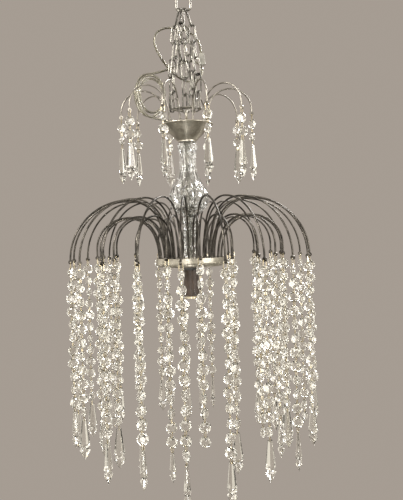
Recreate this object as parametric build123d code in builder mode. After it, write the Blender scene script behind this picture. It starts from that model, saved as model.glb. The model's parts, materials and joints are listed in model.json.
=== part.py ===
"""A crystal waterfall chandelier, hung from a chain, modelled in millimetres.

The origin is where the ceiling hook bears inside the hanging ring, +Z is up and -Y is the
front.  Everything below hangs from that point: the ring, the chain, the eye on the central
tube, the upper cup with its ten thin arms, the glass stem, and the pan with its two rings of
arched arms.  Each arm ends in an eye that carries one string of octagon beads.

An azimuth is measured from the front (-Y) towards the right (+X).
"""

import os
from math import asin, atan2, ceil, cos, degrees, dist, pi, radians, sin, sqrt, tan

from build123d import *

os.makedirs("parts", exist_ok=True)

# ---------------------------------------------------------------- hanging ring and chain
ring_inside_width = 16.0
ring_inside_height = 34.0
ring_wire = 3.0
ring_corner = 2.5  # inside corner radius at the straight lower bar
link_wire = 2.0
link_inside_length = 24.0
link_inside_width = 6.5
link_gap = 0.3  # slack between two links, and between a link and what it hangs on
load_links = 6  # links that carry the weight, down the middle
top_link_spacing = 3.2  # from one top link to the next along the ring's bar
bight_azimuths = [-12.0, 108.0, 228.0]  # loops of spare chain, as seen from above
bight_places = [-1, 1, -2]  # where each hangs on the bar, in steps from the load's own link
bight_tilt = 20.0  # how far a spare loop's top link leans out
bight_side_step = 1.3  # the two strands of a loop lie this far either side of its middle
bight_radius = 15.0  # from the axis to the middle of a loop's lowest link
slant_links = 3  # links that spread outwards, at the top of each loop
plumb_links = 2  # links that hang straight below them

# ---------------------------------------------------------------- central tube and its nuts
tube_radius = 5.0
tube_bore_radius = 3.6
thread_clearance = 0.05
seat_clearance = 0.2  # between the tube and what is threaded on it
eye_inside_radius = 5.0
eye_wire = 3.0
eye_boss_radius = 8.0
eye_boss_height = 8.0
eye_boss_grip = 6.0  # how deep the tube goes into the boss
gland_radius = 2.8
gland_length = 5.0
gland_sunk = 2.0  # how deep the gland sits in the boss
gland_bore = 1.3
gland_azimuth = -72.0
flex_width = 3.5
loop_middle_radius = 49.0  # the slack loops stand beside the chain, in the gland's own plane
loop_rise = 36.0  # of their middle, above the gland
loop_smallest = 16.0
loop_growth = 0.45  # the loops draw in and open out again by this much a step
loop_tall = 1.4  # they are taller than wide
loop_first = -75.0
loop_step = 30.0
loop_steps = 28
loop_spread = 13.0  # from the first loop to the last, across the loops' plane
connector_width = 9.0
connector_depth = 6.0
connector_corner = 1.0
connector_length = 16.0
connector_hole_radius = 1.5
connector_hole_depth = 5.0

# ---------------------------------------------------------------- upper cup and its arms
hub_thickness = 2.0
spacer_radius = 7.5
spacer_length = 16.5
cup_base = 1.5
cup_wall = 1.2
cup_height = 22.0
cup_foot_radius = 14.0
cup_rim_radius = 36.0
rim_bead = 1.1  # radius of the rolled edge
upper_arms = 10
upper_first_azimuth = -18.0
upper_wire = 2.0
upper_root_radius = 27.5
upper_apex_radius = 60.0
upper_apex_height = 50.0  # above the hub
upper_reach = 90.0
upper_tip_height = 14.0  # above the hub
upper_arm_below = 1.0  # how far an arm's root shows below its plate

# ---------------------------------------------------------------- glass stem
collar_radius = 12.5
collar_height = 2.0
vase_height = 102.0
vase_top_radius = 10.5
vase_neck_radius = 11.0
vase_belly_radius = 28.5
vase_foot_radius = 11.5
vase_flange_radius = 13.8
vase_belly_height = 26.0  # above the vase's foot, as the other heights here
vase_neck_height = 70.0
vase_flange_height = 96.0
vase_wall = 3.0
column_height = 56.5
column_radius = 9.0
column_waist = 7.4
column_rings = 6
glass_clearance = 0.4
washer_height = 1.5
washer_radius = 11.0

# ---------------------------------------------------------------- pan and its arms
pan_radius = 47.5
pan_height = 12.0
pan_corner = 6.0
pan_wall = 1.2
pan_lip = 0.6  # how far the rim stands above the arm plate
plate_thickness = 3.0
arms_per_ring = 20
outer_first_azimuth = -3.0
inner_first_azimuth = 6.0
arm_wire = 2.5
arm_below = 3.0
arm_lean = 20.0  # how far an arm has turned outwards at the end of its long lower curve
outer_root_radius = 33.0
outer_apex_radius = 84.0
outer_apex_height = 81.0  # above the arm plate, as the other heights here
outer_reach = 163.0
outer_tip_height = 0.5
inner_root_radius = 43.0
inner_apex_radius = 86.0
inner_apex_height = 57.0
inner_reach = 127.0
inner_tip_height = 4.0
hole_clearance = 0.1

# ---------------------------------------------------------------- lampholder
nut_across_flats = 17.0
nut_height = 5.0
holder_radius = 10.5
holder_length = 36.0
holder_wall = 1.3
holder_roof = 3.0
insert_height = 9.0
insert_hole_spacing = 10.0
insert_hole_radius = 1.2
shell_inside_radius = 7.0
shell_wall = 0.8
shell_length = 19.0
shell_shows = 3.0  # how far the screw shell shows below the holder
contact_radius = 2.5
contact_height = 2.0
contact_sunk = 0.2  # how far the middle contact lies inside its pocket

# ---------------------------------------------------------------- beads, pins and drops
eye_outer_radius = 2.8
eye_hole_radius = 1.2
hinge_pin_radius = 0.9
strap_thickness = 1.0
strap_width = 2.4
strap_clearance = 0.4
bead_width = 14.0
bead_thickness = 7.0
bead_bevel = 45.0
bead_pitch = 17.0
bead_twist = 137.5  # each bead is turned by this much from the one above
pin_thickness = 1.2
pin_gap = 0.2
drop_length = 50.0
drop_width = 14.0
drop_thickness = 8.0
drop_flat = 0.45  # the flat of a drop's front, as a share of its width
short_drop_length = 38.0
string_turn = 40.0  # the first bead of each string is turned by this much from its neighbour
upper_beads = 2

# Beads in each string, from the front one round to the right, as counted or judged in the
# photograph.  A string in the second list has lost its drop.
outer_beads = [13, 13, 12, 12, 11, 10, 14, 12, 12, 11, 12, 11, 12, 12, 12, 12, 11, 11, 12, 12]
inner_beads = [13, 12, 13, 12, 12, 12, 12, 12, 11, 11, 12, 11, 12, 11, 12, 12, 12, 12, 12, 13]
outer_without_drop = [6]
inner_without_drop = [0, 2]
inner_short_drop = [19]

# ---------------------------------------------------------------- levels, from the top down
bar_z = -(ring_inside_height + ring_wire / 2)
top_link_z = bar_z + (ring_wire + link_wire) / 2 + link_gap
link_reach = link_inside_length + link_wire
link_pitch = link_reach - link_wire - link_gap
load_end_z = top_link_z - (load_links - 1) * link_pitch - link_reach
eye_z = load_end_z + (link_wire + eye_wire) / 2 + link_gap - eye_inside_radius - eye_wire / 2
boss_top_z = eye_z - eye_inside_radius - eye_wire / 2
hub_top_z = boss_top_z - eye_boss_height
hub_z = hub_top_z - hub_thickness
spacer_z = hub_z - spacer_length
cup_z = spacer_z - cup_base
collar_z = cup_z - collar_height
vase_z = collar_z - vase_height
column_z = vase_z - column_height
plate_top_z = column_z - washer_height
plate_z = plate_top_z - plate_thickness
pan_z = plate_top_z + pan_lip - pan_height
nut_z = pan_z - nut_height
holder_top_z = nut_z
holder_z = holder_top_z - holder_length
shell_z = holder_z - shell_shows
insert_z = shell_z + shell_length
tube_top_z = hub_top_z + eye_boss_grip
tube_foot_z = holder_top_z - holder_roof
tube_hole_radius = tube_radius + seat_clearance


def around(radius, azimuth, height):
    """A point at this radius and azimuth."""
    return (radius * sin(radians(azimuth)), -radius * cos(radians(azimuth)), height)


def save(piece, name):
    piece.label = name
    export_step(piece, f"parts/{name}.step")


# ================================================================ hanging ring
with BuildPart() as hanging_ring:
    half_width = (ring_inside_width + ring_wire) / 2
    crown_z = -ring_inside_width / 2
    bend = ring_corner + ring_wire / 2
    with BuildLine(Plane.XZ):
        Line((half_width, crown_z), (half_width, bar_z + bend))
        CenterArc((half_width - bend, bar_z + bend), bend, 0, -90)
        Line((half_width - bend, bar_z), (bend - half_width, bar_z))
        CenterArc((bend - half_width, bar_z + bend), bend, -90, -90)
        Line((-half_width, bar_z + bend), (-half_width, crown_z))
        CenterArc((0, crown_z), half_width, 180, -180)
    with BuildSketch(Plane((half_width, 0, crown_z), z_dir=(0, 0, -1))):
        Circle(ring_wire / 2)
    sweep()
save(hanging_ring.part, "hanging_ring")

# ================================================================ chain
# One link stands along Z with its width along X, and its middle at the origin.
with BuildPart() as link:
    link_bend = (link_inside_width + link_wire) / 2
    link_straight = link_reach / 2 - link_bend
    with BuildLine(Plane.XZ):
        Line((link_bend, -link_straight), (link_bend, link_straight))
        CenterArc((0, link_straight), link_bend, 0, 180)
        Line((-link_bend, link_straight), (-link_bend, -link_straight))
        CenterArc((0, -link_straight), link_bend, 180, 180)
    with BuildSketch(Plane((link_bend, 0, -link_straight), z_dir=(0, 0, 1))):
        Circle(link_wire / 2)
    sweep()

down = Vector(0, 0, -1)
hook_step = (link_wire + link_gap) / 2


def link_plane(start, way, width):
    """Where a link goes whose first end has its wire at start, and which runs along way."""
    width = (width - way * width.dot(way)).normalized()
    return Plane(start + way * (link_reach / 2), x_dir=width, z_dir=way)


def strand_planes(hook, tilted, outward, along):
    """Planes of one side of a spare loop, below its top link, which runs along tilted."""
    corner = outward * bight_radius + along * (link_reach / 2)
    spread = Vector(corner.X - hook.X, corner.Y - hook.Y, 0)
    slant = asin(spread.length / (slant_links * link_pitch))
    slanted = spread.normalized() * sin(slant) + down * cos(slant)
    ways = [slanted] * slant_links + [down] * plumb_links
    # each link is about a quarter turn from the one above; the last lies in the loop's plane
    last_turn = degrees(atan2(along.Y, along.X))
    first_turn = round(last_turn / 180) * 180
    last = len(ways) - 1
    start = hook - (tilted + slanted) * hook_step
    planes = []
    for number, way in enumerate(ways):
        turn = first_turn + (last_turn - first_turn) * number / last + 90 * (number - last)
        planes.append(link_plane(start, way, Vector(*around(1, turn + 90, 0))))
        end = start + way * link_reach
        start = end - (way + ways[min(number + 1, last)]) * hook_step
    return planes, end


def bight_planes(place, azimuth):
    """Planes of all links of one loop of spare chain."""
    outward = Vector(*around(1, azimuth, 0))
    tilted = outward * sin(radians(bight_tilt)) + down * cos(radians(bight_tilt))
    top = Vector(place * top_link_spacing, 0, bar_z) - tilted * (top_link_z - bar_z)
    planes = [link_plane(top, tilted, Vector(0, 1, 0))]
    rise = link_bend - sqrt(link_bend**2 - bight_side_step**2)
    lowest_point = top + tilted * (link_reach - rise)
    for side in (1, -1):
        along = Vector(*around(1, azimuth + 90, 0)) * side
        aside = bight_side_step if along.Y > 0 else -bight_side_step
        hook = lowest_point + planes[0].x_dir * aside
        half, end = strand_planes(hook, tilted, outward, along)
        planes += half
    lowest = end - down * (2 * hook_step)
    planes.append(link_plane(lowest, along * -1, outward))
    return planes


with BuildPart() as hanging_chain:
    load_planes = []
    for number in range(load_links):
        width = Vector(number % 2, 1 - number % 2, 0)
        load_planes.append(
            link_plane(Vector(0, 0, top_link_z - number * link_pitch), down, width)
        )
    with Locations(*load_planes):
        add(link.part)
save(hanging_chain.part, "hanging_chain")

with BuildPart() as spare_chain_loops:
    spare_planes = []
    for place, azimuth in zip(bight_places, bight_azimuths):
        spare_planes += bight_planes(place, azimuth)
    with Locations(*spare_planes):
        add(link.part)
save(spare_chain_loops.part, "spare_chain_loops")

# ================================================================ top eye with its gland
gland_z = hub_top_z + eye_boss_height / 2
gland_way = Vector(*around(1, gland_azimuth, 0))
gland_seat = gland_way * (eye_boss_radius - gland_sunk) + Vector(0, 0, gland_z)
with BuildPart() as top_eye_and_gland:
    with Locations((0, 0, eye_z)):
        Torus(eye_inside_radius + eye_wire / 2, eye_wire / 2, rotation=(0, 90, 0))
    with BuildSketch(Plane.XY.offset(hub_top_z)):
        Circle(eye_boss_radius)
    extrude(amount=eye_boss_height)
    with BuildSketch(Plane.XY.offset(hub_top_z)):
        Circle(tube_radius + thread_clearance)
    extrude(amount=eye_boss_grip, mode=Mode.SUBTRACT)
    with BuildSketch(Plane((0, 0, gland_z), z_dir=gland_way)):
        Circle(gland_bore)
    extrude(amount=eye_boss_radius, mode=Mode.SUBTRACT)
    with BuildSketch(Plane(gland_seat, z_dir=gland_way)):
        Circle(gland_radius + thread_clearance)
    extrude(amount=gland_length, mode=Mode.SUBTRACT)
    with BuildSketch(Plane(gland_seat + gland_way * thread_clearance, z_dir=gland_way)):
        Circle(gland_radius)
        Circle(gland_bore, mode=Mode.SUBTRACT)
    extrude(amount=gland_length)
save(top_eye_and_gland.part, "top_eye_and_gland")

# ================================================================ clear flex
loop_middle_z = gland_z + loop_rise


def beside(radius, height, forward):
    """A point in the gland's plane, moved forward at right angles to it."""
    return gland_way * radius + Vector(*around(forward, gland_azimuth + 90, height))


flex_exit = gland_seat + gland_way * (thread_clearance + gland_length)
flex_points = [
    flex_exit,
    beside(23.0, gland_z, 0.0),
    beside(35.5, gland_z + 3.6, 4.0),
]
for step in range(loop_steps + 1):
    angle = radians(loop_first + loop_step * step)
    size = loop_smallest + loop_growth * abs(step - loop_steps / 2)
    flex_points.append(
        beside(
            loop_middle_radius + size * cos(angle),
            loop_middle_z + size * loop_tall * sin(angle),
            loop_spread * (0.5 - step / loop_steps),
        )
    )
flex_points += [
    Vector(-58, -6, -124),
    Vector(-45, 6, -120),
    Vector(-30, 20, -113),
    Vector(-13, 32, -104),
    Vector(4, 36, -96),
    Vector(19, 36, -98),
    Vector(26, 35, -111),
    Vector(19, 35, -124),
    Vector(4, 36, -127),
    Vector(-12, 29, -120),
    Vector(-26, 15, -108),
    Vector(-35, 5, -96),
    Vector(-42, 0, -81),
    Vector(-40, 0, -66),
    Vector(-28, 8, -56),
    Vector(-12, 17, -54),
    Vector(3, 21, -57),
    Vector(15, 22, -64),
    Vector(22, 22, -76),
    Vector(23, 22, -90),
]
flex_runs = [dist(a, b) for a, b in zip(flex_points, flex_points[1:])]
flex_radii = []
for number in range(1, len(flex_points) - 1):
    before = flex_points[number] - flex_points[number - 1]
    after = flex_points[number + 1] - flex_points[number]
    turn = radians(before.get_angle(after))
    flex_radii.append(0.45 * min(before.length, after.length) / tan(turn / 2))
with BuildPart() as clear_flex:
    with BuildLine() as flex_route:
        FilletPolyline(*flex_points, radius=flex_radii)
    with BuildSketch(Plane(flex_exit, z_dir=flex_points[1] - flex_exit)):
        Circle(flex_width / 2)
    sweep()
save(clear_flex.part, "clear_flex")

flex_line = flex_route.wire()
samples = 600
flex_places = [flex_line.position_at(number / samples) for number in range(samples + 1)]
apart = ceil(4 * flex_width * samples / flex_line.length)
least_gap = min(
    dist(one, other)
    for number, one in enumerate(flex_places)
    for other in flex_places[number + apart :]
)
print("flex bend radii", [round(radius, 1) for radius in flex_radii])
print("flex runs", [round(run, 1) for run in flex_runs])
print("flex length", round(flex_line.length, 1))
print("flex least gap to itself", round(least_gap - flex_width, 2))
flex_bulk = flex_line.length * pi * flex_width**2 / 4
print("flex volume against section times length", round(clear_flex.part.volume / flex_bulk, 4))

# ================================================================ connector on the flex's end
with BuildPart() as flex_connector:
    flex_end = flex_points[-1]
    flex_end_way = (flex_end - flex_points[-2]).normalized()
    with BuildSketch(Plane(flex_end, x_dir=(1, 0, 0), z_dir=flex_end_way)):
        RectangleRounded(connector_width, connector_depth, connector_corner)
    extrude(amount=connector_length)
    with BuildSketch(Plane(flex_end, x_dir=(1, 0, 0), z_dir=flex_end_way).offset(connector_length)):
        with GridLocations(connector_width / 2, 0, 2, 1):
            Circle(connector_hole_radius)
    extrude(amount=-connector_hole_depth, mode=Mode.SUBTRACT)
save(flex_connector.part, "flex_connector")

# ================================================================ upper cup
cup_slope = (cup_rim_radius - cup_foot_radius) / cup_height
cup_wall_across = cup_wall * sqrt(1 + cup_slope**2)
rim_z = cup_z + cup_height
with BuildPart() as upper_cup:
    with BuildSketch(Plane.XZ):
        with BuildLine():
            Polyline(
                (tube_hole_radius, cup_z),
                (cup_foot_radius, cup_z),
                (cup_rim_radius, rim_z),
                (cup_rim_radius - cup_wall_across, rim_z),
                (cup_foot_radius - cup_wall_across + cup_base * cup_slope, cup_z + cup_base),
                (tube_hole_radius, cup_z + cup_base),
                close=True,
            )
        make_face()
        with Locations((cup_rim_radius - rim_bead / 2, rim_z)):
            Circle(rim_bead)
    revolve(axis=Axis.Z)
save(upper_cup.part, "upper_cup")


# ================================================================ arms
def arm_part(root_radius, apex_radius, apex_height, reach, tip_height, wire, below, twist):
    """One arched wire in the XZ plane, from below its plate, whose top is at height 0, to an
    eye turned by twist.  It leans out slowly, bends over and comes down in a quarter circle."""
    lean = radians(arm_lean)
    out = apex_radius - root_radius
    spread = (1 - cos(lean)) * (1 - sin(lean)) - sin(lean) * cos(lean)
    long_radius = (out * (1 - sin(lean)) - apex_height * cos(lean)) / spread
    short_radius = (apex_height * (1 - cos(lean)) - out * sin(lean)) / spread
    fall_radius = reach - apex_radius
    with BuildPart() as arm:
        with BuildLine(Plane.XZ):
            Line((root_radius, -below), (root_radius, 0))
            CenterArc((root_radius + long_radius, 0), long_radius, 180, -arm_lean)
            CenterArc(
                (apex_radius, apex_height - short_radius), short_radius, 180 - arm_lean, arm_lean - 90
            )
            CenterArc((apex_radius, apex_height - fall_radius), fall_radius, 90, -90)
            Line((reach, apex_height - fall_radius), (reach, tip_height))
        with BuildSketch(Plane((root_radius, 0, -below), z_dir=(0, 0, 1))):
            Circle(wire / 2)
        sweep()
        eye_plane = Plane((reach, 0, tip_height), z_dir=(sin(radians(twist)), -cos(radians(twist)), 0))
        with BuildSketch(eye_plane):
            Circle(eye_outer_radius)
        extrude(amount=wire / 2, both=True)
        with BuildSketch(eye_plane):
            Circle(eye_hole_radius)
        extrude(amount=wire, both=True, mode=Mode.SUBTRACT)
    return arm.part


def turned(azimuth, height):
    """Where a part goes that was made along X with its datum at height 0."""
    return Location((0, 0, height), (0, 0, azimuth - 90))


upper_step = 360 / upper_arms
ring_step = 360 / arms_per_ring
upper_azimuths = [upper_first_azimuth + upper_step * number for number in range(upper_arms)]
outer_azimuths = [outer_first_azimuth + ring_step * number for number in range(arms_per_ring)]
inner_azimuths = [inner_first_azimuth + ring_step * number for number in range(arms_per_ring)]

upper_arm = arm_part(
    upper_root_radius,
    upper_apex_radius,
    upper_apex_height,
    upper_reach,
    upper_tip_height,
    upper_wire,
    hub_thickness + upper_arm_below,
    0,
)
with BuildPart() as upper_arm_wires:
    with Locations(*[turned(azimuth, hub_top_z) for azimuth in upper_azimuths]):
        add(upper_arm)
save(upper_arm_wires.part, "upper_arm_wires")

outer_arm = arm_part(
    outer_root_radius,
    outer_apex_radius,
    outer_apex_height,
    outer_reach,
    outer_tip_height,
    arm_wire,
    plate_thickness + arm_below,
    0,
)
with BuildPart() as outer_arm_wires:
    with Locations(*[turned(azimuth, plate_top_z) for azimuth in outer_azimuths]):
        add(outer_arm)
save(outer_arm_wires.part, "outer_arm_wires")

# inner strings hang in pairs that share one hinge line, so their eyes turn towards each other
with BuildPart() as inner_arm_wires:
    for half, twist in ((0, ring_step / 2), (1, -ring_step / 2)):
        inner_arm = arm_part(
            inner_root_radius,
            inner_apex_radius,
            inner_apex_height,
            inner_reach,
            inner_tip_height,
            arm_wire,
            plate_thickness + arm_below,
            twist,
        )
        with Locations(*[turned(azimuth, plate_top_z) for azimuth in inner_azimuths[half::2]]):
            add(inner_arm)
save(inner_arm_wires.part, "inner_arm_wires")

# ================================================================ plates that hold the arms
hub_radius = (
    cup_foot_radius + (hub_z - cup_z) * cup_slope - cup_wall_across - seat_clearance
)
with BuildPart() as upper_arm_plate:
    with BuildSketch(Plane.XY.offset(hub_z)):
        Circle(hub_radius)
        Circle(tube_hole_radius, mode=Mode.SUBTRACT)
        with Locations(*[around(upper_root_radius, azimuth, 0) for azimuth in upper_azimuths]):
            Circle(upper_wire / 2 + hole_clearance, mode=Mode.SUBTRACT)
    extrude(amount=hub_thickness)
save(upper_arm_plate.part, "upper_arm_plate")

with BuildPart() as lower_arm_plate:
    with BuildSketch(Plane.XY.offset(plate_z)):
        Circle(pan_radius - pan_wall - seat_clearance)
        Circle(tube_hole_radius, mode=Mode.SUBTRACT)
        outer_roots = [around(outer_root_radius, azimuth, 0) for azimuth in outer_azimuths]
        inner_roots = [around(inner_root_radius, azimuth, 0) for azimuth in inner_azimuths]
        with Locations(*outer_roots, *inner_roots):
            Circle(arm_wire / 2 + hole_clearance, mode=Mode.SUBTRACT)
    extrude(amount=plate_thickness)
save(lower_arm_plate.part, "lower_arm_plate")

# ================================================================ glass vase and column
glass_bore = tube_radius + glass_clearance


def vase_outline(inset):
    """The vase's profile, drawn in by this much all round but open at the top."""
    top = (vase_top_radius - inset, vase_z + vase_height)
    flange = (vase_flange_radius - inset, vase_z + vase_flange_height)
    neck = (vase_neck_radius - inset, vase_z + vase_neck_height)
    belly = (vase_belly_radius - inset, vase_z + vase_belly_height)
    foot = (vase_foot_radius - inset, vase_z + inset)
    with BuildSketch(Plane.XZ) as outline:
        with BuildLine():
            Spline(foot, belly, tangents=((1, 0.6), (0, 1)))
            Spline(belly, neck, tangents=((0, 1), (0, 1)))
            Spline(neck, flange, tangents=((0, 1), (0.5, 1)))
            Line(flange, top)
            Polyline(top, (0, top[1]), (0, foot[1]), foot)
        make_face()
    return outline.sketch


with BuildPart() as glass_vase:
    add(vase_outline(0))
    revolve(axis=Axis.Z)
    add(vase_outline(vase_wall))
    revolve(axis=Axis.Z, mode=Mode.SUBTRACT)
    with BuildSketch(Plane.XY.offset(vase_z)):
        Circle(glass_bore)
    extrude(amount=vase_wall, mode=Mode.SUBTRACT)
save(glass_vase.part, "glass_vase")

with BuildPart() as glass_column:
    with BuildSketch(Plane.XZ):
        with BuildLine():
            ring_height = column_height / column_rings
            for number in range(column_rings):
                low = column_z + number * ring_height
                ThreePointArc(
                    (column_waist, low),
                    (column_radius, low + ring_height / 2),
                    (column_waist, low + ring_height),
                )
            Polyline(
                (column_waist, column_z + column_height),
                (glass_bore, column_z + column_height),
                (glass_bore, column_z),
                (column_waist, column_z),
            )
        make_face()
    revolve(axis=Axis.Z)
save(glass_column.part, "glass_column")

# ================================================================ central tube
with BuildPart() as centre_tube:
    with BuildSketch(Plane.XY.offset(tube_foot_z)):
        Circle(tube_radius)
        Circle(tube_bore_radius, mode=Mode.SUBTRACT)
    extrude(amount=tube_top_z - tube_foot_z)
    with BuildSketch(Plane((0, 0, gland_z), z_dir=gland_way)):
        Circle(gland_bore)
    extrude(amount=2 * tube_radius, mode=Mode.SUBTRACT)
save(centre_tube.part, "centre_tube")

# ================================================================ washers and spacers
pan_floor_z = pan_z + pan_wall
with BuildPart() as stem_washers:
    for radius, low, high in (
        (spacer_radius, spacer_z, hub_z),
        (collar_radius, collar_z, cup_z),
        (washer_radius, plate_top_z, column_z),
        (spacer_radius, pan_floor_z, plate_z),
    ):
        with BuildSketch(Plane.XY.offset(low)):
            Circle(radius)
            Circle(tube_hole_radius, mode=Mode.SUBTRACT)
        extrude(amount=high - low)
save(stem_washers.part, "stem_washers")

# ================================================================ pan
with BuildPart() as pan:
    with BuildSketch(Plane.XZ):
        with BuildLine():
            inner_corner = pan_corner - pan_wall
            pan_top_z = pan_z + pan_height
            Polyline((pan_radius, pan_z + pan_corner), (pan_radius, pan_top_z))
            Polyline((pan_radius, pan_top_z), (pan_radius - pan_wall, pan_top_z))
            Line((pan_radius - pan_wall, pan_top_z), (pan_radius - pan_wall, pan_z + pan_corner))
            CenterArc((pan_radius - pan_corner, pan_z + pan_corner), inner_corner, 0, -90)
            Line((pan_radius - pan_corner, pan_floor_z), (tube_hole_radius, pan_floor_z))
            Line((tube_hole_radius, pan_floor_z), (tube_hole_radius, pan_z))
            Line((tube_hole_radius, pan_z), (pan_radius - pan_corner, pan_z))
            CenterArc((pan_radius - pan_corner, pan_z + pan_corner), pan_corner, -90, 90)
        make_face()
    revolve(axis=Axis.Z)
save(pan.part, "pan")

# ================================================================ nut under the pan
with BuildPart() as pan_nut:
    with BuildSketch(Plane.XY.offset(nut_z)):
        RegularPolygon(nut_across_flats / 2, 6, major_radius=False)
        Circle(tube_radius + thread_clearance, mode=Mode.SUBTRACT)
    extrude(amount=nut_height)
save(pan_nut.part, "pan_nut")

# ================================================================ lampholder
with BuildPart() as lampholder_body:
    cavity_radius = holder_radius - holder_wall
    with BuildSketch(Plane.XY.offset(holder_z)):
        Circle(holder_radius)
    extrude(amount=holder_length)
    with BuildSketch(Plane.XY.offset(holder_z)):
        Circle(cavity_radius)
    extrude(amount=holder_length - holder_roof, mode=Mode.SUBTRACT)
    with BuildSketch(Plane.XY.offset(holder_top_z - holder_roof)):
        Circle(tube_radius + thread_clearance)
    extrude(amount=holder_roof, mode=Mode.SUBTRACT)
    with BuildSketch(Plane.XY.offset(insert_z)):
        Circle(cavity_radius - thread_clearance)
        with GridLocations(insert_hole_spacing, 0, 2, 1):
            Circle(insert_hole_radius, mode=Mode.SUBTRACT)
    extrude(amount=insert_height)
    with BuildSketch(Plane.XY.offset(insert_z)):
        Circle(contact_radius)
    extrude(amount=contact_height, mode=Mode.SUBTRACT)
save(lampholder_body.part, "lampholder_body")

with BuildPart() as lampholder_contacts:
    with BuildSketch(Plane.XY.offset(shell_z)):
        Circle(shell_inside_radius + shell_wall)
        Circle(shell_inside_radius, mode=Mode.SUBTRACT)
    extrude(amount=shell_length)
    with BuildSketch(Plane.XY.offset(insert_z + contact_sunk)):
        Circle(contact_radius)
    extrude(amount=contact_height - contact_sunk)
save(lampholder_contacts.part, "lampholder_contacts")


# ================================================================ beads, pins and drops
def clip_part(wire):
    """The clip at the top of a string: two straps and a pin through the arm's eye, which
    lies at the origin with its hole along Y."""
    slot = wire / 2 + strap_clearance
    foot = eye_outer_radius + strap_clearance + strap_thickness
    with BuildPart() as clip:
        with BuildSketch(Plane.XZ):
            Circle(strap_width / 2)
            with Locations((0, -foot / 2)):
                Rectangle(strap_width, foot)
        extrude(amount=slot + strap_thickness, both=True)
        with BuildSketch(Plane.XZ):
            with Locations((0, strap_thickness - foot)):
                Rectangle(2 * strap_width, 2 * foot, align=(Align.CENTER, Align.MIN))
        extrude(amount=slot, both=True, mode=Mode.SUBTRACT)
        with BuildSketch(Plane.XZ):
            Circle(hinge_pin_radius)
        extrude(amount=slot + strap_thickness, both=True)
    return clip.part


string_top = -(eye_outer_radius + strap_clearance + strap_thickness)
bead_gap = bead_pitch - bead_width

# One bead stands in the XZ plane with its middle at the origin.
with BuildPart() as bead:
    with BuildSketch(Plane.XZ):
        RegularPolygon(bead_width / 2, 8, major_radius=False, rotation=22.5)
    extrude(amount=bead_thickness / 2, both=True, taper=bead_bevel)

with BuildPart() as bead_pin:
    Box(pin_thickness, pin_thickness, bead_gap - 2 * pin_gap)


def drop_part(length):
    """A spear drop, with its top at the origin: widths are shares of the full width."""
    with BuildPart() as drop:
        for depth, share in ((0, 0.46), (0.63, 1), (0.70, 0.6), (0.78, 1), (1, 0.04)):
            with BuildSketch(Plane.XY.offset(-depth * length)):
                width = share * drop_width * length / drop_length
                thickness = width * drop_thickness / drop_width
                corner = width * drop_flat / 2
                with BuildLine():
                    Polyline(
                        (width / 2, 0),
                        (corner, thickness / 2),
                        (-corner, thickness / 2),
                        (-width / 2, 0),
                        (-corner, -thickness / 2),
                        (corner, -thickness / 2),
                        close=True,
                    )
                make_face()
        loft(ruled=True)
    return drop.part


arm_clip = clip_part(arm_wire)
upper_clip = clip_part(upper_wire)
long_drop = drop_part(drop_length)
short_drop = drop_part(short_drop_length)


def string_places(tip, facing, count, first_turn):
    """Where the beads of a string go, and its pins, and its drop."""
    frame = Plane(tip, x_dir=around(1, facing, 0))
    beads = []
    pins = []
    for number in range(count + 1):
        top = string_top - number * bead_pitch
        turn = first_turn + number * bead_twist
        pins.append(frame.location * Location((0, 0, top - bead_gap / 2), (0, 0, turn)))
        middle = top - bead_gap - bead_width / 2
        beads.append(frame.location * Location((0, 0, middle), (0, 0, turn)))
    drop = frame.location * Location((0, 0, top - bead_gap), (0, 0, first_turn))
    return frame.location, beads[:count], pins, drop


def save_strings(name, strings):
    """Write the strings of one node, each given as its tip, the azimuth that it faces, its
    count of beads, the turn of its first bead, its clip and its drop or None."""
    with BuildPart() as node:
        for tip, facing, count, first_turn, clip, drop in strings:
            place, beads, pins, drop_place = string_places(tip, facing, count, first_turn)
            with Locations(place):
                add(clip)
            with Locations(*beads):
                add(bead.part)
            with Locations(*(pins if drop else pins[:count])):
                add(bead_pin.part)
            if drop:
                with Locations(drop_place):
                    add(drop)
    save(node.part, name)


for number, azimuth in enumerate(outer_azimuths):
    tip = around(outer_reach, azimuth, plate_top_z + outer_tip_height)
    drop = None if number in outer_without_drop else long_drop
    string = (tip, azimuth, outer_beads[number], number * string_turn, arm_clip, drop)
    save_strings(f"outer_strand_{number + 1:02}", [string])

inner_drops = [long_drop] * arms_per_ring
for number in inner_without_drop:
    inner_drops[number] = None
for number in inner_short_drop:
    inner_drops[number] = short_drop
for pair in range(arms_per_ring // 2):
    facing = inner_azimuths[2 * pair] + ring_step / 2
    strings = []
    for number in (2 * pair, 2 * pair + 1):
        tip = around(inner_reach, inner_azimuths[number], plate_top_z + inner_tip_height)
        turn = (number + 0.5) * string_turn
        strings.append((tip, facing, inner_beads[number], turn, arm_clip, inner_drops[number]))
    save_strings(f"inner_strand_pair_{pair + 1:02}", strings)

for number, azimuth in enumerate(upper_azimuths):
    tip = around(upper_reach, azimuth, hub_top_z + upper_tip_height)
    string = (tip, azimuth, upper_beads, number * string_turn, upper_clip, long_drop)
    save_strings(f"upper_drop_{number + 1:02}", [string])
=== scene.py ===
# %% [markdown]
# # A crystal waterfall chandelier
#
# The construction comes packed as a fixed frame: a ring, a chain, a glass stem, two crowns of
# arched wires and fifty strings on forty hinges.  This lesson dresses that frame.  The metal
# keeps its shapes and gets procedural finishes, and the glass is modelled again with the facets
# that make it sparkle.  Every size is in metres, and +Z is up.

# %% Load the frame
import json
from math import atan2, cos, pi, radians, sin

import bmesh
import bpy
from mathutils import Matrix, Vector

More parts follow.
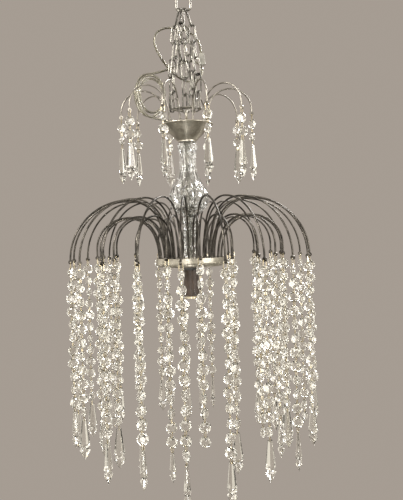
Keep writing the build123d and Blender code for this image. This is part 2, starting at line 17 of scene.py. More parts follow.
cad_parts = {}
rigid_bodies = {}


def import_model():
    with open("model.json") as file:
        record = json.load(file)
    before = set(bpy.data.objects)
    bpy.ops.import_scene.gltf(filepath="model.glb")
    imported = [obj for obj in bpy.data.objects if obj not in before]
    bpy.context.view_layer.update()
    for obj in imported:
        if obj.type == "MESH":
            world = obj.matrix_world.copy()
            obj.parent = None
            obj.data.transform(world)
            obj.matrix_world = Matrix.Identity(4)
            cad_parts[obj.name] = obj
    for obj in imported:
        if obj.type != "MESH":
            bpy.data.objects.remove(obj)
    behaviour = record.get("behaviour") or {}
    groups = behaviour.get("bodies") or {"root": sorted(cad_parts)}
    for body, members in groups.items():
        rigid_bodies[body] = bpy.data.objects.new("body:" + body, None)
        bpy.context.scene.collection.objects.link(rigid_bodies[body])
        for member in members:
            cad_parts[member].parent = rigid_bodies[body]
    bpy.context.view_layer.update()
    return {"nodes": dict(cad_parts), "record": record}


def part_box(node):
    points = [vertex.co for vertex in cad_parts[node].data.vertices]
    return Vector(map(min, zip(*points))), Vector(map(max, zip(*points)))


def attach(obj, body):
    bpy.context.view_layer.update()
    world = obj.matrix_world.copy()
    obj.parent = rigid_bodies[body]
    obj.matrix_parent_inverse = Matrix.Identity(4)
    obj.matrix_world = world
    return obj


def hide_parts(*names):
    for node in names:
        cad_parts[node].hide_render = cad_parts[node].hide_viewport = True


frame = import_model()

record = frame["record"]
nodes = frame["nodes"]
hinges = {joint["child"]: joint for joint in record["behaviour"]["joints"]}

# %% [markdown]
# ## Sizes
#
# These repeat the driving sizes of the construction, so that each facet sits where the solid is.

# %% Named sizes
MM = 0.001
BEAD_WIDTH = 14 * MM
BEAD_THICKNESS = 7 * MM
BEAD_RINGS = [(1, 0, 0.5), (0.8, 0.6, 0), (0.46, 1, 0.5)]  # radius, depth, offset in steps
BEAD_PITCH = 17 * MM
BEAD_TWIST = 137.5  # degrees from one bead to the next
CLIP_DROP = 4.2 * MM  # from an arm's eye to the foot of the clip
BEAD_GAP = BEAD_PITCH - BEAD_WIDTH
PIN_WIDTH = 2.2 * MM
PIN_HOLD = 2.2 * MM  # how far a pin reaches over a bead's edge
PIN_WIRE = 0.8 * MM
HOOK_WIDTH = 4.6 * MM
HOOK_HEIGHT = 10.4 * MM
HOOK_WIRE = 0.9 * MM
HOOK_BELOW_EYE = 4.9 * MM  # from the arm's eye to the middle of the hook
DROP_LENGTH = 50 * MM
SHORT_DROP_LENGTH = 38 * MM
DROP_WIDTH = 14 * MM
DROP_THICKNESS = 8 * MM
DROP_FLAT = 0.4  # half of the flat front, as a share of the drop's half width
DROP_BEVEL = (0.74, 0.6)  # the edge between the bevels, as shares of half width and half depth
DROP_OUTLINE = [(0, 0.4), (0.03, 0.47), (0.63, 1), (0.7, 0.6), (0.78, 1), (1, 0.04)]
STRING_TURN = 40.0
UPPER_STRINGS = 10
UPPER_BEADS = 2  # on each upper string
OUTER_BEADS = [13, 13, 12, 12, 11, 10, 14, 12, 12, 11, 12, 11, 12, 12, 12, 12, 11, 11, 12, 12]
INNER_BEADS = [13, 12, 13, 12, 12, 12, 12, 12, 11, 11, 12, 11, 12, 11, 12, 12, 12, 12, 12, 13]
OUTER_WITHOUT_DROP = [6]
INNER_WITHOUT_DROP = [0, 2]
INNER_SHORT_DROP = [19]
INNER_REACH = 127 * MM
HALF_STEP = radians(9)  # half the angle between two neighbouring inner arms
FLEX_WIDTH = 3.5 * MM
GLAND_AZIMUTH = radians(-72)
GLAND_ABOVE_HUB = 4 * MM
UPPER_TIP_ABOVE_HUB = 14 * MM
PAN_RIM_ABOVE_TIP = 0.4 * MM
CORE_WIDTH = 1.1 * MM
CORE_SHIFT = 0.75 * MM  # from the flex's middle to each of its two cores

hub_top = hinges["upper_drop_01"]["pos_m"][2] - UPPER_TIP_ABOVE_HUB
gland_height = hub_top + GLAND_ABOVE_HUB
print("hub top", round(hub_top, 4), "gland", round(gland_height, 4))

# %% [markdown]
# ## Camera
#
# The picture is 403 by 500 pixels.  The horizon lies a little above its middle.  The axis leans
# by nearly two degrees, because the camera was rolled.

# %% Set up the camera
FOCAL_PIXELS = 650
PICTURE_HEIGHT = 500
HORIZON_ROW = 235
AXIS_COLUMN = 190.0
PICTURE_CENTRE = (201.5, 250)
METRES_PER_PIXEL = 1.38 * MM
CAMERA_ROLL = radians(-1.7)
PAN_ROW = 257

camera_data = bpy.data.cameras.new("camera")
camera = bpy.data.objects.new("camera", camera_data)
bpy.context.scene.collection.objects.link(camera)
bpy.context.scene.camera = camera
distance = FOCAL_PIXELS * METRES_PER_PIXEL
pan_top = hinges["outer_strand_01"]["pos_m"][2] + PAN_RIM_ABOVE_TIP
camera_height = pan_top + (PAN_ROW - HORIZON_ROW) * METRES_PER_PIXEL
camera_side = (PICTURE_CENTRE[0] - AXIS_COLUMN) * METRES_PER_PIXEL
camera_data.lens = camera_data.sensor_width * FOCAL_PIXELS / PICTURE_HEIGHT
camera_data.shift_y = (HORIZON_ROW - PICTURE_CENTRE[1]) / PICTURE_HEIGHT
camera.matrix_world = (
    Matrix.Translation((camera_side, -distance, camera_height))
    @ Matrix.Rotation(pi / 2, 4, "X")
    @ Matrix.Rotation(CAMERA_ROLL, 4, "Z")
)
print("camera", [round(value, 3) for value in camera.location], "lens", round(camera_data.lens, 1))

# %% [markdown]
# ## The clear flex
#
# It leaves the gland over the rim of the cup, makes slack loops beside the chain, passes behind
# the chain and climbs out to the left.  The loops come from a formula and the rest of the route
# is a list of given points, as in the construction.

# %% Route of the flex
LOOP_MIDDLE_RADIUS = 49.0
LOOP_RISE = 36.0
LOOP_SMALLEST = 16.0
LOOP_GROWTH = 0.45
LOOP_TALL = 1.4
LOOP_FIRST = -75.0
LOOP_STEP = 30.0
LOOP_STEPS = 28
LOOP_SPREAD = 13.0
FIRST_ROUTE = [(11.05, 0, 0), (23.0, 0, 0), (35.5, 3.6, 4.0)]  # out, up from the gland, forward
FREE_ROUTE = [
    (-58, -6, -124), (-45, 6, -120), (-30, 20, -113), (-13, 32, -104), (4, 36, -96),
    (19, 36, -98), (26, 35, -111), (19, 35, -124), (4, 36, -127), (-12, 29, -120),
    (-26, 15, -108), (-35, 5, -96), (-42, 0, -81), (-40, 0, -66), (-28, 8, -56),
    (-12, 17, -54), (3, 21, -57), (15, 22, -64), (22, 22, -76), (23, 22, -90),
]
LOOPS_OUT = Vector((sin(GLAND_AZIMUTH), -cos(GLAND_AZIMUTH), 0))
LOOPS_ACROSS = Vector((cos(GLAND_AZIMUTH), sin(GLAND_AZIMUTH), 0))


def beside(radius, height, forward):
    """A point in the gland's plane, in millimetres, moved forward at right angles to it."""
    return (LOOPS_OUT * radius + LOOPS_ACROSS * forward + Vector((0, 0, height))) * MM


gland_mm = gland_height / MM
route = [beside(out, gland_mm + up, forward) for out, up, forward in FIRST_ROUTE]
for step in range(LOOP_STEPS + 1):
    angle = radians(LOOP_FIRST + LOOP_STEP * step)
    size = LOOP_SMALLEST + LOOP_GROWTH * abs(step - LOOP_STEPS / 2)
    radius = LOOP_MIDDLE_RADIUS + size * cos(angle)
    height = gland_mm + LOOP_RISE + size * LOOP_TALL * sin(angle)
    route.append(beside(radius, height, LOOP_SPREAD * (0.5 - step / LOOP_STEPS)))
route += [Vector(point) * MM for point in FREE_ROUTE]


def route_curve(name, bevel, shifts):
    """A curve of second degree along the route for each sideways shift, in one object."""
    curve = bpy.data.curves.new(name, "CURVE")
    curve.dimensions = "3D"
    for shift in shifts:
        spline = curve.splines.new("NURBS")
        spline.points.add(len(route) - 1)
        for point, place in zip(spline.points, route):
            point.co = (*(place + LOOPS_ACROSS * shift), 1)
        spline.order_u = 3
        spline.use_endpoint_u = True
        spline.resolution_u = 6
    curve.bevel_depth = bevel
    curve.bevel_resolution = 3
    curve.use_fill_caps = True
    piece = bpy.data.objects.new(name, curve)
    bpy.context.scene.collection.objects.link(piece)
    return piece


flex = route_curve("flex_sleeve", FLEX_WIDTH / 2, [0])
flex_core = route_curve("flex_core", CORE_WIDTH / 2, [-CORE_SHIFT, CORE_SHIFT])
polygon_length = sum((after - before).length for before, after in zip(route, route[1:]))
print("route", len(route), "points, polygon length", round(polygon_length, 3))

# %% [markdown]
# ## Materials
#
# Each material is built from noise in object space, so that it holds on any view.  The glass has
# constant transmission, and only its tint and its surface change from place to place.


# %% Material helpers
def new_material(name):
    """A node material, its tree and shader, and the coordinates of the object it is on."""
    material = bpy.data.materials.new(name)
    material.use_nodes = True
    tree = material.node_tree
    shader = tree.nodes["Principled BSDF"]
    coordinates = tree.nodes.new("ShaderNodeTexCoord")
    return material, tree, shader, coordinates.outputs["Object"]


def noise(tree, vector, scale, detail=4.0, stretch=(1, 1, 1)):
    """Noise of that scale, stretched along the axes."""
    mapping = tree.nodes.new("ShaderNodeMapping")
    mapping.inputs["Scale"].default_value = stretch
    texture = tree.nodes.new("ShaderNodeTexNoise")
    texture.inputs["Scale"].default_value = scale
    texture.inputs["Detail"].default_value = detail
    tree.links.new(vector, mapping.inputs["Vector"])
    tree.links.new(mapping.outputs["Vector"], texture.inputs["Vector"])
    return texture.outputs["Fac"]


def ramp(tree, factor, stops):
    """A colour ramp with these (position, colour) stops."""
    node = tree.nodes.new("ShaderNodeValToRGB")
    elements = node.color_ramp.elements
    while len(elements) < len(stops):
        elements.new(0.5)
    for element, (position, colour) in zip(elements, stops):
        element.position = position
        element.color = (*colour, 1)
    tree.links.new(factor, node.inputs["Fac"])
    return node.outputs["Color"]


def spread(tree, factor, low, high):
    """The factor moved into this range."""
    node = tree.nodes.new("ShaderNodeMapRange")
    node.inputs["From Min"].default_value = 0.3
    node.inputs["From Max"].default_value = 0.7
    node.inputs["To Min"].default_value = low
    node.inputs["To Max"].default_value = high
    tree.links.new(factor, node.inputs["Value"])
    return node.outputs["Result"]


def bump(tree, shader, height, strength, depth):
    """Relief on the shader's normal."""
    node = tree.nodes.new("ShaderNodeBump")
    node.inputs["Strength"].default_value = strength
    node.inputs["Distance"].default_value = depth
    tree.links.new(height, node.inputs["Height"])
    tree.links.new(node.outputs["Normal"], shader.inputs["Normal"])


# %% Metals
def metal(name, dark, light, smooth, rough, grain=(1, 1, 1)):
    """A metal with cloudy tarnish, fine grain and worn places."""
    material, tree, shader, place = new_material(name)
    clouds = noise(tree, place, 90)
    shader.inputs["Metallic"].default_value = 1.0
    tree.links.new(ramp(tree, clouds, [(0.35, dark), (0.65, light)]), shader.inputs["Base Color"])
    fine = noise(tree, place, 700, 6, grain)
    tree.links.new(spread(tree, fine, smooth, rough), shader.inputs["Roughness"])
    bump(tree, shader, fine, 0.15, 0.0002)
    return material


dark_bronze = metal("dark_bronze", (0.035, 0.032, 0.028), (0.115, 0.104, 0.09), 0.22, 0.42)
silver_bronze = metal("silver_bronze", (0.13, 0.12, 0.105), (0.36, 0.335, 0.295), 0.2, 0.4)
chain_nickel = metal("chain_nickel", (0.06, 0.056, 0.05), (0.33, 0.315, 0.28), 0.13, 0.3)
satin_nickel = metal("satin_nickel", (0.36, 0.335, 0.28), (0.6, 0.565, 0.49), 0.24, 0.4, (1, 1, 8))
dull_zinc = metal("dull_zinc", (0.1, 0.095, 0.083), (0.27, 0.257, 0.226), 0.35, 0.5)
tinned_copper = metal("tinned_copper", (0.2, 0.185, 0.15), (0.5, 0.475, 0.41), 0.2, 0.4)
pin_brass = metal("pin_brass", (0.5, 0.41, 0.24), (0.84, 0.76, 0.58), 0.15, 0.3)


# %% Other finishes
def facets(tree, vector, scale):
    """A relief of small flat cuts that meet in sharp edges."""
    texture = tree.nodes.new("ShaderNodeTexVoronoi")
    texture.feature = "DISTANCE_TO_EDGE"
    texture.inputs["Scale"].default_value = scale
    tree.links.new(vector, texture.inputs["Vector"])
    return texture.outputs["Distance"]


def glass(name, tint, pale, index, ripple, cuts=0):
    """Clear glass with a faint cloud of tint and ripples that break up its reflections."""
    material, tree, shader, place = new_material(name)
    clouds = noise(tree, place, 60)
    tree.links.new(ramp(tree, clouds, [(0.3, tint), (0.7, pale)]), shader.inputs["Base Color"])
    shader.inputs["Metallic"].default_value = 0.0
    shader.inputs["Transmission Weight"].default_value = 1.0
    shader.inputs["IOR"].default_value = index
    dust = noise(tree, place, 900)
    tree.links.new(spread(tree, dust, 0.0, 0.035), shader.inputs["Roughness"])
    relief = facets(tree, place, cuts) if cuts else noise(tree, place, 160, 2)
    bump(tree, shader, relief, ripple, 0.0016 if cuts else 0.0004)
    return material


crystal = glass("crystal", (0.94, 0.93, 0.88), (1.0, 0.99, 0.95), 1.58, 0.12)
cut_glass = glass("cut_glass", (0.94, 0.96, 0.95), (1.0, 1.0, 1.0), 1.52, 0.3, 120)
clear_pvc = glass("clear_pvc", (0.88, 0.87, 0.81), (0.97, 0.97, 0.93), 1.45, 0.35)


def plastic(name, dark, light, smooth, rough):
    """A moulded plastic or paint with a little wear."""
    material, tree, shader, place = new_material(name)
    clouds = noise(tree, place, 120)
    tree.links.new(ramp(tree, clouds, [(0.35, dark), (0.65, light)]), shader.inputs["Base Color"])
    fine = noise(tree, place, 1100)
    tree.links.new(spread(tree, fine, smooth, rough), shader.inputs["Roughness"])
    bump(tree, shader, fine, 0.1, 0.0002)
    return material


black_steel = plastic("black_steel", (0.012, 0.012, 0.012), (0.03, 0.029, 0.027), 0.25, 0.45)
holder_plastic = plastic("holder_plastic", (0.03, 0.02, 0.014), (0.065, 0.042, 0.03), 0.3, 0.5)
connector_plastic = plastic("connector_plastic", (0.27, 0.26, 0.23), (0.4, 0.385, 0.34), 0.35, 0.5)

FINISHES = {
    "hanging_ring": chain_nickel, "hanging_chain": chain_nickel, "spare_chain_loops": chain_nickel,
    "flex_connector": connector_plastic, "top_eye_and_gland": satin_nickel,
    "upper_cup": satin_nickel, "upper_arm_plate": satin_nickel, "upper_arm_wires": silver_bronze,
    "centre_tube": dull_zinc, "stem_washers": satin_nickel, "pan": satin_nickel,
    "lower_arm_plate": satin_nickel, "outer_arm_wires": dark_bronze,
    "inner_arm_wires": dark_bronze, "pan_nut": black_steel, "lampholder_body": holder_plastic,
    "lampholder_contacts": pin_brass,
}


def finish_with(piece, material):
    """Give the piece this material alone."""
    piece.data.materials.clear()
    piece.data.materials.append(material)


for name, material in FINISHES.items():
    finish_with(nodes[name], material)
print("finished", len(FINISHES), "construction nodes")

# %% [markdown]
# ## The flex on the chandelier
#
# The sleeve stands for the flex of the construction.  It and its two cores ride on the
# chandelier, and the flex of the construction is hidden.

finish_with(flex, clear_pvc)
finish_with(flex_core, tinned_copper)
for piece in (flex, flex_core):
    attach(piece, "chandelier")
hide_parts("clear_flex")

# %% [markdown]
# ## Crystals
#
# An octagon bead is the hull of three rings of points on each side: the girdle, a ring of
# facets turned by half a step, and the table.  A spear drop is a stack of flat rings.


# %% Bead, drop and pin shapes
def mesh_of(name, bm):
    """A plain mesh from a bmesh, with its faces outward."""
    bmesh.ops.recalc_face_normals(bm, faces=bm.faces)
    mesh = bpy.data.meshes.new(name)
    bm.to_mesh(mesh)
    bm.free()
    return mesh


def octagon_bead():
    """A faceted bead in the XZ plane, with its middle at the origin."""
    bm = bmesh.new()
    corner = BEAD_WIDTH / 2 / cos(pi / 8)
    for share, level, offset in BEAD_RINGS:
        radius = corner * share
        depth = BEAD_THICKNESS / 2 * level
        for number in range(8):
            angle = (number + offset) * pi / 4
            bm.verts.new((radius * cos(angle), depth, radius * sin(angle)))
            if depth:
                bm.verts.new((radius * cos(angle), -depth, radius * sin(angle)))
    bmesh.ops.convex_hull(bm, input=bm.verts)
    bmesh.ops.dissolve_limit(bm, angle_limit=radians(1), verts=bm.verts, edges=bm.edges)
    return mesh_of("octagon_bead", bm)


def ringed(name, rings):
    """A closed mesh through rings of points, each ring given from the top down."""
    bm = bmesh.new()
    loops = [[bm.verts.new(point) for point in ring] for ring in rings]
    for upper, lower in zip(loops, loops[1:]):
        for number in range(len(upper)):
            after = (number + 1) % len(upper)
            bm.faces.new((upper[number], upper[after], lower[after], lower[number]))
    bm.faces.new(loops[0])
    bm.faces.new(loops[-1])
    return mesh_of(name, bm)


def spear_drop(length):
    """A spear drop with its top at the origin: a flat front and back with two bevels on each
    side, a notch and an arrow head."""
    scale = length / DROP_LENGTH
    half_width = DROP_WIDTH / 2 * scale
    half_depth = DROP_THICKNESS / 2 * scale
    front = [(DROP_BEVEL[0], DROP_BEVEL[1]), (DROP_FLAT, 1), (-DROP_FLAT, 1)]
    half = [(1, 0), *front, (-DROP_BEVEL[0], DROP_BEVEL[1])]
    section = half + [(-x, -y) for x, y in half]
    rings = []
    for depth, share in DROP_OUTLINE:
        level = -depth * length
        rings.append([(x * half_width * share, y * half_depth * share, level) for x, y in section])
    return ringed("spear_drop", rings)


def wire_loop(name, width, height, wire, sides=4, steps=6):
    """An upright loop of wire in the XZ plane with round ends, and its middle at the origin."""
    bend = width / 2
    rise = height / 2 - bend
    line = []
    for end in (1, -1):
        for step in range(steps + 1):
            angle = pi * step / steps + (0 if end == 1 else pi)
            line.append((bend * cos(angle), rise * end + bend * sin(angle), angle))
    bm = bmesh.new()
    loops = []
    for along, up, angle in line:
        loop = []
        for side in range(sides):
            turn = 2 * pi * side / sides
            reach = wire / 2 * cos(turn)
            place = (along + reach * cos(angle), wire / 2 * sin(turn), up + reach * sin(angle))
            loop.append(bm.verts.new(place))
        loops.append(loop)
    for number, loop in enumerate(loops):
        following = loops[(number + 1) % len(loops)]
        for side in range(sides):
            after = (side + 1) % sides
            bm.faces.new((loop[side], loop[after], following[after], following[side]))
    return mesh_of(name, bm)


bead_mesh = octagon_bead()
long_drop = spear_drop(DROP_LENGTH)
short_drop = spear_drop(SHORT_DROP_LENGTH)
pin_mesh = wire_loop("bead_pin", PIN_WIDTH, BEAD_GAP + 2 * PIN_HOLD, PIN_WIRE)
hook_mesh = wire_loop("hook", HOOK_WIDTH, HOOK_HEIGHT, HOOK_WIRE)
print("bead faces", len(bead_mesh.polygons), "drop faces", len(long_drop.polygons))

# %% [markdown]
# ## Strings by geometry nodes
#
# One tree makes any row: a line of points, an instance on each, turned further from one to the
# next, then made real with its material.  Every string evaluates it twice, for beads and pins.


# %% The string tree
def string_tree():
    """The node tree of a hanging row of instances."""
    tree = bpy.data.node_groups.new("hanging_row", "GeometryNodeTree")
    sockets = [
        ("Shape", "NodeSocketObject"), ("Count", "NodeSocketInt"), ("Pitch", "NodeSocketFloat"),
        ("First", "NodeSocketFloat"), ("First Turn", "NodeSocketFloat"),
        ("Turn Step", "NodeSocketFloat"), ("Loose", "NodeSocketFloat"), ("Seed", "NodeSocketInt"),
        ("Material", "NodeSocketMaterial"),
    ]
    for name, kind in sockets:
        tree.interface.new_socket(name, in_out="INPUT", socket_type=kind)
    tree.interface.new_socket("Geometry", in_out="OUTPUT", socket_type="NodeSocketGeometry")
    add = tree.nodes.new
    link = tree.links.new
    given = add("NodeGroupInput").outputs
    result = add("NodeGroupOutput")

    def math(operation, first, second):
        node = add("ShaderNodeMath")
        node.operation = operation
        for socket, value in zip(node.inputs, (first, second)):
            if isinstance(value, (int, float)):
                socket.default_value = value
            else:
                link(value, socket)
        return node.outputs["Value"]

    def upright(height):
        node = add("ShaderNodeCombineXYZ")
        link(height, node.inputs["Z"])
        return node

    line = add("GeometryNodeMeshLine")
    link(given["Count"], line.inputs["Count"])
    link(upright(math("MULTIPLY", given["First"], -1)).outputs[0], line.inputs["Start Location"])
    link(upright(math("MULTIPLY", given["Pitch"], -1)).outputs[0], line.inputs["Offset"])
    index = add("GeometryNodeInputIndex").outputs[0]
    turn = math("ADD", given["First Turn"], math("MULTIPLY", index, given["Turn Step"]))
    tilt = add("FunctionNodeRandomValue")
    tilt.data_type = "FLOAT_VECTOR"
    low = add("ShaderNodeVectorMath")
    low.operation = "SCALE"
    low.inputs[0].default_value = (-1, -1, -1)
    link(given["Loose"], low.inputs["Scale"])
    high = add("ShaderNodeVectorMath")
    high.operation = "SCALE"
    high.inputs[0].default_value = (1, 1, 1)
    link(given["Loose"], high.inputs["Scale"])
    link(low.outputs["Vector"], tilt.inputs["Min"])
    link(high.outputs["Vector"], tilt.inputs["Max"])
    link(given["Seed"], tilt.inputs["Seed"])
    whole = add("ShaderNodeVectorMath")
    whole.operation = "ADD"
    link(tilt.outputs["Value"], whole.inputs[0])
    link(upright(turn).outputs[0], whole.inputs[1])
    shape = add("GeometryNodeObjectInfo")
    link(given["Shape"], shape.inputs["Object"])
    place = add("GeometryNodeInstanceOnPoints")
    link(line.outputs["Mesh"], place.inputs["Points"])
    link(shape.outputs["Geometry"], place.inputs["Instance"])
    link(whole.outputs["Vector"], place.inputs["Rotation"])
    real = add("GeometryNodeRealizeInstances")
    link(place.outputs["Instances"], real.inputs["Geometry"])
    coat = add("GeometryNodeSetMaterial")
    link(real.outputs["Geometry"], coat.inputs["Geometry"])
    link(given["Material"], coat.inputs["Material"])
    link(coat.outputs["Geometry"], result.inputs["Geometry"])
    return tree


row_tree = string_tree()


def hidden(name, mesh):
    """An object that only lends its shape to the tree."""
    piece = bpy.data.objects.new(name, mesh)
    bpy.context.scene.collection.objects.link(piece)
    piece.hide_render = True
    piece.hide_viewport = True
    return piece


shapes = {
    "bead": hidden("bead_shape", bead_mesh),
    "pin": hidden("pin_shape", pin_mesh),
}


def row_mesh(name, **values):
    """The plain mesh of one row, evaluated with these inputs."""
    host = bpy.data.objects.new(name, bpy.data.meshes.new(name))
    bpy.context.scene.collection.objects.link(host)
    modifier = host.modifiers.new("row", "NODES")
    modifier.node_group = row_tree
    for item in row_tree.interface.items_tree:
        if item.in_out == "INPUT":
            modifier[item.identifier] = values[item.name.replace(" ", "_").lower()]
    bpy.context.view_layer.update()
    graph = bpy.context.evaluated_depsgraph_get()
    mesh = bpy.data.meshes.new_from_object(host.evaluated_get(graph))
    bpy.data.objects.remove(host)
    return mesh


# %% [markdown]
# ## Hang the strings
#
# Each string starts at its arm's eye, and every node gets one piece of glass and one of metal.


# %% String builder
def joined(name, parts, material, body):
    """One piece from (mesh, matrix) parts, riding on its body."""
    bm = bmesh.new()
    for mesh, matrix in parts:
        copy = mesh.copy()
        copy.transform(matrix)
        bm.from_mesh(copy)
        bpy.data.meshes.remove(copy)
    mesh = bpy.data.meshes.new(name)
    bm.to_mesh(mesh)
    bm.free()
    piece = bpy.data.objects.new(name, mesh)
    bpy.context.scene.collection.objects.link(piece)
    finish_with(piece, material)
    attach(piece, body)
    return piece


def string_parts(eye, facing, count, drop, first_turn, seed):
    """Glass and metal parts of one string that hangs from eye."""
    place = Matrix.Translation(eye) @ Matrix.Rotation(facing, 4, "Z")
    first = CLIP_DROP + BEAD_GAP + BEAD_WIDTH / 2
    common = dict(pitch=BEAD_PITCH, turn_step=radians(BEAD_TWIST), seed=seed)
    beads = row_mesh(
        "beads", shape=shapes["bead"], count=count, first=first, first_turn=first_turn,
        loose=radians(3), material=crystal, **common,
    )
    links = count if drop else count - 1
    pins = row_mesh(
        "pins", shape=shapes["pin"], count=links, first=first + BEAD_PITCH / 2,
        first_turn=first_turn, loose=radians(5), material=pin_brass, **common,
    )
    hook = place @ Matrix.Translation((0, 0, -HOOK_BELOW_EYE)) @ Matrix.Rotation(pi / 2, 4, "Z")
    glass_parts = [(beads, place)]
    metal_parts = [(pins, place), (hook_mesh, hook)]
    if drop:
        depth = CLIP_DROP + count * BEAD_PITCH + BEAD_GAP
        turn = Matrix.Rotation(first_turn, 4, "Z")
        glass_parts.append((drop, place @ Matrix.Translation((0, 0, -depth)) @ turn))
    return glass_parts, metal_parts


def hang(node, strings):
    """Hang these strings on the node, as one piece of glass and one of metal."""
    glass_parts = []
    metal_parts = []
    for string in strings:
        some_glass, some_metal = string_parts(*string)
        glass_parts += some_glass
        metal_parts += some_metal
    beads = joined(f"{node}_crystals", glass_parts, crystal, node)
    joined(f"{node}_pins", metal_parts, pin_brass, node)
    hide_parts(node)


def outward(joint):
    """The level direction from the axis to the hinge, and its angle about Z."""
    x, y, _ = joint["pos_m"]
    return Vector((x, y, 0)).normalized(), atan2(y, x)


# %% Hang all fifty
for number in range(len(OUTER_BEADS)):
    node = f"outer_strand_{number + 1:02}"
    _, facing = outward(hinges[node])
    drop = None if number in OUTER_WITHOUT_DROP else long_drop
    turn = radians(number * STRING_TURN)
    eye = Vector(hinges[node]["pos_m"])
    hang(node, [(eye, facing, OUTER_BEADS[number], drop, turn, number)])

for pair in range(len(INNER_BEADS) // 2):
    node = f"inner_strand_pair_{pair + 1:02}"
    middle = Vector(hinges[node]["pos_m"])
    way, facing = outward(hinges[node])
    across = Vector((-way.y, way.x, 0))
    strings = []
    for number, side in ((2 * pair, -1), (2 * pair + 1, 1)):
        drop = long_drop
        if number in INNER_WITHOUT_DROP:
            drop = None
        if number in INNER_SHORT_DROP:
            drop = short_drop
        eye = middle + across * side * INNER_REACH * sin(HALF_STEP)
        turn = radians((number + 0.5) * STRING_TURN)
        strings.append((eye, facing, INNER_BEADS[number], drop, turn, 50 + number))
    hang(node, strings)

for number in range(UPPER_STRINGS):
    node = f"upper_drop_{number + 1:02}"
    _, facing = outward(hinges[node])
    eye = Vector(hinges[node]["pos_m"])
    turn = radians(number * STRING_TURN)
    hang(node, [(eye, facing, UPPER_BEADS, long_drop, turn, 100 + number)])
crystals = [piece for piece in bpy.data.objects if piece.name.endswith("_crystals")]
print("crystal pieces", len(crystals), "faces", sum(len(p.data.polygons) for p in crystals))

# %% [markdown]
# ## Cut glass stem
#
# The vase and the column are turned from rings of points.  Every other corner of a ring is
# pulled in.  The neck keeps the same corners from ring to ring, which gives upright flutes, and
# the belly swaps them, which breaks its skin into diamonds.


# %% Vase and column
def lathe(name, outline, sides, bore):
    """A faceted tube: outline is (radius, height, flute depth) from the top, and bore the same
    for the inside.  A negative depth pulls in the corners that a positive one leaves."""
    rings = []
    for radius, height, flute in outline + bore[::-1]:
        ring = []
        for number in range(sides):
            angle = 2 * pi * number / sides
            reach = radius * (1 - abs(flute) * ((number + (flute < 0)) % 2))
            ring.append((reach * cos(angle), reach * sin(angle), height))
        rings.append(ring)
    bm = bmesh.new()
    loops = [[bm.verts.new(point) for point in ring] for ring in rings]
    for number, loop in enumerate(loops):
        following = loops[(number + 1) % len(loops)]
        for side in range(sides):
            after = (side + 1) % sides
            bm.faces.new((loop[side], loop[after], following[after], following[side]))
    bmesh.ops.triangulate(bm, faces=[face for face in bm.faces if len(face.verts) > 3])
    piece = bpy.data.objects.new(name, mesh_of(name, bm))
    bpy.context.scene.collection.objects.link(piece)
    finish_with(piece, cut_glass)
    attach(piece, "chandelier")
    return piece


vase_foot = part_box("glass_vase")[0][2]
VASE_OUTLINE = [
    (10.4, 102, 0), (13.6, 97.5, 0), (13.7, 94, 0), (12.2, 90, 0.1), (11.2, 80, 0.12),
    (11.0, 70, 0.12), (12.6, 60, 0.12), (16.4, 50, 0.1), (21.0, 43, -0.08), (24.6, 37, 0.08),
    (27.2, 31, -0.08), (28.4, 25, 0.08), (27.8, 19, -0.08), (25.2, 13, 0.08), (20.5, 7, -0.08),
    (15.4, 3, 0.05), (11.4, 0, 0),
]
VASE_BORE = [
    (7.4, 102, 0), (8.4, 90, 0), (7.8, 70, 0), (12.4, 50, 0), (22, 35, 0), (24.8, 25, 0),
    (21, 12, 0), (9, 3.2, 0), (5.5, 3, 0), (5.5, 0, 0),
]
VASE_SIDES = 24
COLUMN_SIDES = 20
COLUMN_RINGS = 6
COLUMN_WAIST = 7.4
COLUMN_RING = [(0.02, COLUMN_WAIST), (0.25, 8.5), (0.5, 9.0), (0.75, 8.5)]  # depth, radius
COLUMN_FLUTE = 0.08
COLUMN_BORE = 5.5
TOP_GAP = 0.2  # from the column's top down to its bore, so that the two rings stay apart


def raised(outline, foot):
    """The outline in metres, standing on this foot."""
    return [(radius * MM, foot + height * MM, flute) for radius, height, flute in outline]


vase = lathe(
    "cut_glass_vase", raised(VASE_OUTLINE, vase_foot), VASE_SIDES,
    raised(VASE_BORE, vase_foot),
)
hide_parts("glass_vase")

column_low, column_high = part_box("glass_column")
ring_height = (column_high[2] - column_low[2]) / MM / COLUMN_RINGS
column_outline = []
for number in range(COLUMN_RINGS):
    top = (COLUMN_RINGS - number) * ring_height
    for share, radius in COLUMN_RING:
        column_outline.append((radius, top - share * ring_height, COLUMN_FLUTE))
column_outline.append((COLUMN_WAIST, 0, COLUMN_FLUTE))
column_bore = [(COLUMN_BORE, COLUMN_RINGS * ring_height - TOP_GAP, 0), (COLUMN_BORE, 0, 0)]
column = lathe(
    "cut_glass_column", raised(column_outline, column_low[2]), COLUMN_SIDES,
    raised(column_bore, column_low[2]),
)
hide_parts("glass_column")
print("vase faces", len(vase.data.polygons), "column faces", len(column.data.polygons))

# %% [markdown]
# ## Backdrop and light
#
# A warm grey wall stands behind, for the glass and the metal alone.  They also reflect a room of
# soft bright and dark patches, while the camera sees the wall's grey on every side.

# %% Backdrop
BACKDROP = (0.380, 0.334, 0.290)
BACKDROP_SHADE = (0.370, 0.325, 0.281)
WALL_DISTANCE = 0.9
WALL_HALF_WIDTH = 0.8
WALL_FOOT = -1.25
WALL_TOP = 0.55

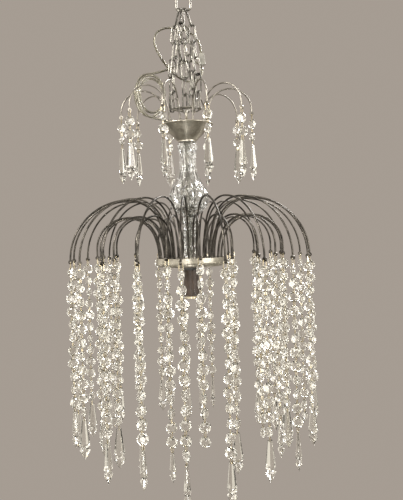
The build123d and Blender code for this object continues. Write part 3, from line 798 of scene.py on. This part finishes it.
wall_mesh = bpy.data.meshes.new("backdrop")
wall_mesh.from_pydata(
    [
        (-WALL_HALF_WIDTH, WALL_DISTANCE, WALL_FOOT), (WALL_HALF_WIDTH, WALL_DISTANCE, WALL_FOOT),
        (WALL_HALF_WIDTH, WALL_DISTANCE, WALL_TOP), (-WALL_HALF_WIDTH, WALL_DISTANCE, WALL_TOP),
    ],
    [],
    [(0, 1, 2, 3)],
)
wall = bpy.data.objects.new("backdrop", wall_mesh)
bpy.context.scene.collection.objects.link(wall)
wall.visible_camera = False  # else it would hide the chandelier from a camera behind it
wall_material = bpy.data.materials.new("backdrop")
wall_material.use_nodes = True
tree = wall_material.node_tree
tree.nodes.clear()
output = tree.nodes.new("ShaderNodeOutputMaterial")
glow = tree.nodes.new("ShaderNodeEmission")
dull = tree.nodes.new("ShaderNodeBsdfDiffuse")
dull.inputs["Color"].default_value = (*BACKDROP, 1)
mix = tree.nodes.new("ShaderNodeMixShader")
rays = tree.nodes.new("ShaderNodeLightPath")
seen = tree.nodes.new("ShaderNodeMath")
seen.operation = "MAXIMUM"
tree.links.new(rays.outputs["Is Transmission Ray"], seen.inputs[0])
tree.links.new(rays.outputs["Is Glossy Ray"], seen.inputs[1])
place = tree.nodes.new("ShaderNodeTexCoord").outputs["Object"]
mottle = noise(tree, place, 1.5, 2)
tree.links.new(ramp(tree, mottle, [(0.3, BACKDROP_SHADE), (0.6, BACKDROP)]), glow.inputs["Color"])
tree.links.new(seen.outputs[0], mix.inputs["Fac"])
tree.links.new(dull.outputs[0], mix.inputs[1])
tree.links.new(glow.outputs[0], mix.inputs[2])
tree.links.new(mix.outputs[0], output.inputs["Surface"])
finish_with(wall, wall_material)
print("wall", 2 * WALL_HALF_WIDTH, "by", WALL_TOP - WALL_FOOT)

# %% Room light
ROOM_STRENGTH = 1.5
world = bpy.data.worlds.new("room")
bpy.context.scene.world = world
world.use_nodes = True
tree = world.node_tree
sky = tree.nodes["Background"]
direction = tree.nodes.new("ShaderNodeTexCoord").outputs["Generated"]
split = tree.nodes.new("ShaderNodeSeparateXYZ")
tree.links.new(direction, split.inputs[0])
up = tree.nodes.new("ShaderNodeMapRange")
up.inputs["From Min"].default_value = -1.0
up.inputs["From Max"].default_value = 1.0
tree.links.new(split.outputs["Z"], up.inputs["Value"])
bands = ramp(
    tree,
    up.outputs["Result"],
    [
        (0.0, (0.3, 0.29, 0.27)), (0.3, (0.55, 0.53, 0.5)), (0.45, (0.95, 0.93, 0.89)),
        (0.55, (0.8, 0.78, 0.74)), (0.72, (1.0, 0.98, 0.95)), (1.0, (0.7, 0.68, 0.66)),
    ],
)
windows = noise(tree, direction, 3.2, 1.0)
panes = ramp(tree, windows, [(0.42, (0.15, 0.142, 0.128)), (0.5, (1.0, 0.965, 0.895))])
room = tree.nodes.new("ShaderNodeVectorMath")
room.operation = "MULTIPLY"
tree.links.new(bands, room.inputs[0])
tree.links.new(panes, room.inputs[1])
tree.links.new(room.outputs["Vector"], sky.inputs["Color"])
sky.inputs["Strength"].default_value = ROOM_STRENGTH
plain = tree.nodes.new("ShaderNodeBackground")
plain.inputs["Color"].default_value = (*BACKDROP, 1)
chosen = tree.nodes.new("ShaderNodeMixShader")
tree.links.new(tree.nodes.new("ShaderNodeLightPath").outputs["Is Camera Ray"], chosen.inputs["Fac"])
tree.links.new(sky.outputs[0], chosen.inputs[1])
tree.links.new(plain.outputs[0], chosen.inputs[2])
tree.links.new(chosen.outputs[0], tree.nodes["World Output"].inputs["Surface"])


def lamp(name, place, target, size, power, colour):
    """A soft square lamp that faces its target."""
    data = bpy.data.lights.new(name, "AREA")
    data.size = size
    data.energy = power
    data.color = colour
    piece = bpy.data.objects.new(name, data)
    piece.location = place
    piece.rotation_euler = (Vector(target) - Vector(place)).to_track_quat("-Z", "Y").to_euler()
    bpy.context.scene.collection.objects.link(piece)
    return piece


MIDDLE = (0, 0, -0.35)
STRIP_HEIGHT = 1.3
lamp("key", (-1.1, -1.0, 0.5), MIDDLE, 0.5, 26, (1.0, 0.97, 0.92))
lamp("fill", (1.3, -0.9, -0.1), MIDDLE, 0.8, 12, (1.0, 0.98, 0.95))
lamp("back", (0.7, 0.75, 0.4), MIDDLE, 0.4, 14, (1.0, 0.98, 0.96))
strip = lamp("strip", (-0.12, -1.05, -0.25), MIDDLE, 0.1, 3, (1.0, 0.98, 0.94))
strip.data.shape = "RECTANGLE"
strip.data.size_y = STRIP_HEIGHT
lamp("floor", (-0.05, -0.5, -1.5), MIDDLE, 0.16, 2, (1.0, 0.97, 0.92))
bpy.context.scene.view_settings.view_transform = "Standard"
print("lamps", len(bpy.data.lights))
